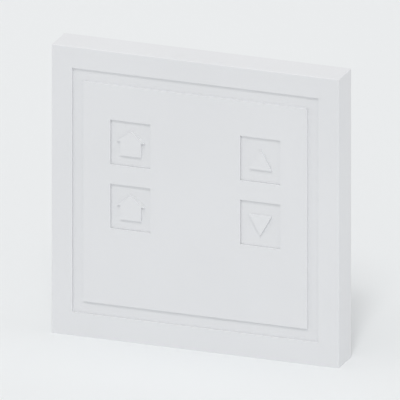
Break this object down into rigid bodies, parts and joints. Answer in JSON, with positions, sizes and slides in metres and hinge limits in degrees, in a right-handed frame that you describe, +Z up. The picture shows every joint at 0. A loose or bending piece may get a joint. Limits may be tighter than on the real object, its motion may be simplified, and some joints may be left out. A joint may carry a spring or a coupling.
{
  "type": "ventilation control panel",
  "caption": "Thin square wall panel for a ventilation unit: raised centre plate in a shadow channel, with pictogram push keys for away, home, more and less.",
  "frame": {"origin": "centre of the back face, on the wall plane", "axes": "+X to the right as the user faces the panel, +Y into the wall, +Z up"},
  "size_m": [0.084, 0.0098, 0.084],
  "materials": {
    "cover_plastic": "fine satin, moulded",
    "plate_plastic": "fine satin, moulded",
    "carrier_plastic": "fine satin, moulded",
    "key_plastic": "fine satin, moulded",
    "symbol_plastic": "translucent white, satin",
    "shell_plastic": "moulded",
    "zinc_sheet": "zinc-plated sheet",
    "board_laminate": "solder-masked laminate",
    "chip_mould": "moulded package",
    "capacitor_mould": "moulded package",
    "ferrite": "ferrite",
    "can_metal": "pressed sheet",
    "clamp_metal": "spring steel",
    "terminal_plastic": "moulded",
    "passive_ceramic": "fired body",
    "screw_steel": "zinc-plated",
    "plunger_plastic": "moulded",
    "switch_plastic": "moulded",
    "light_resin": "clear resin over the emitter"
  },
  "bodies": {
    "panel": {"cover_frame": "cover_plastic", "front_plate": "plate_plastic", "carrier": "carrier_plastic", "rear_shell": "shell_plastic", "wall_plate": "zinc_sheet", "circuit_board": "board_laminate", "away_switch_body": "switch_plastic", "away_switch_lid": "can_metal", "away_switch_dome": "clamp_metal", "away_light": "light_resin", "home_switch_body": "switch_plastic", "home_switch_lid": "can_metal", "home_switch_dome": "clamp_metal", "home_light": "light_resin", "up_switch_body": "switch_plastic", "up_switch_lid": "can_metal", "up_switch_dome": "clamp_metal", "up_light": "light_resin", "down_switch_body": "switch_plastic", "down_switch_lid": "can_metal", "down_switch_dome": "clamp_metal", "down_light": "light_resin", "microcontroller": "chip_mould", "bus_transceiver": "chip_mould", "voltage_regulator": "chip_mould", "buffer_capacitor": "capacitor_mould", "choke": "ferrite", "crystal": "can_metal", "terminal_block": "terminal_plastic", "terminal_clamps": "clamp_metal", "chip_passives": "passive_ceramic", "housing_screws": "screw_steel"},
    "away_button": {"away_key": "key_plastic", "away_symbol": "symbol_plastic", "away_plunger": "plunger_plastic"},
    "home_button": {"home_key": "key_plastic", "home_symbol": "symbol_plastic", "home_plunger": "plunger_plastic"},
    "up_button": {"up_key": "key_plastic", "up_symbol": "symbol_plastic", "up_plunger": "plunger_plastic"},
    "down_button": {"down_key": "key_plastic", "down_symbol": "symbol_plastic", "down_plunger": "plunger_plastic"}
  },
  "joints": [
    {"name": "away_press", "type": "slide", "parent": "panel", "child": "away_button", "axis": [0, 1, 0], "range_m": [0, 0.0005], "stiffness_N_per_m": 4000, "springref_m": -0.0001, "deforming": ["away_switch_dome"]},
    {"name": "home_press", "type": "slide", "parent": "panel", "child": "home_button", "axis": [0, 1, 0], "range_m": [0, 0.0005], "stiffness_N_per_m": 4000, "springref_m": -0.0001, "deforming": ["home_switch_dome"]},
    {"name": "up_press", "type": "slide", "parent": "panel", "child": "up_button", "axis": [0, 1, 0], "range_m": [0, 0.0005], "stiffness_N_per_m": 4000, "springref_m": -0.0001, "deforming": ["up_switch_dome"]},
    {"name": "down_press", "type": "slide", "parent": "panel", "child": "down_button", "axis": [0, 1, 0], "range_m": [0, 0.0005], "stiffness_N_per_m": 4000, "springref_m": -0.0001, "deforming": ["down_switch_dome"]}
  ]
}
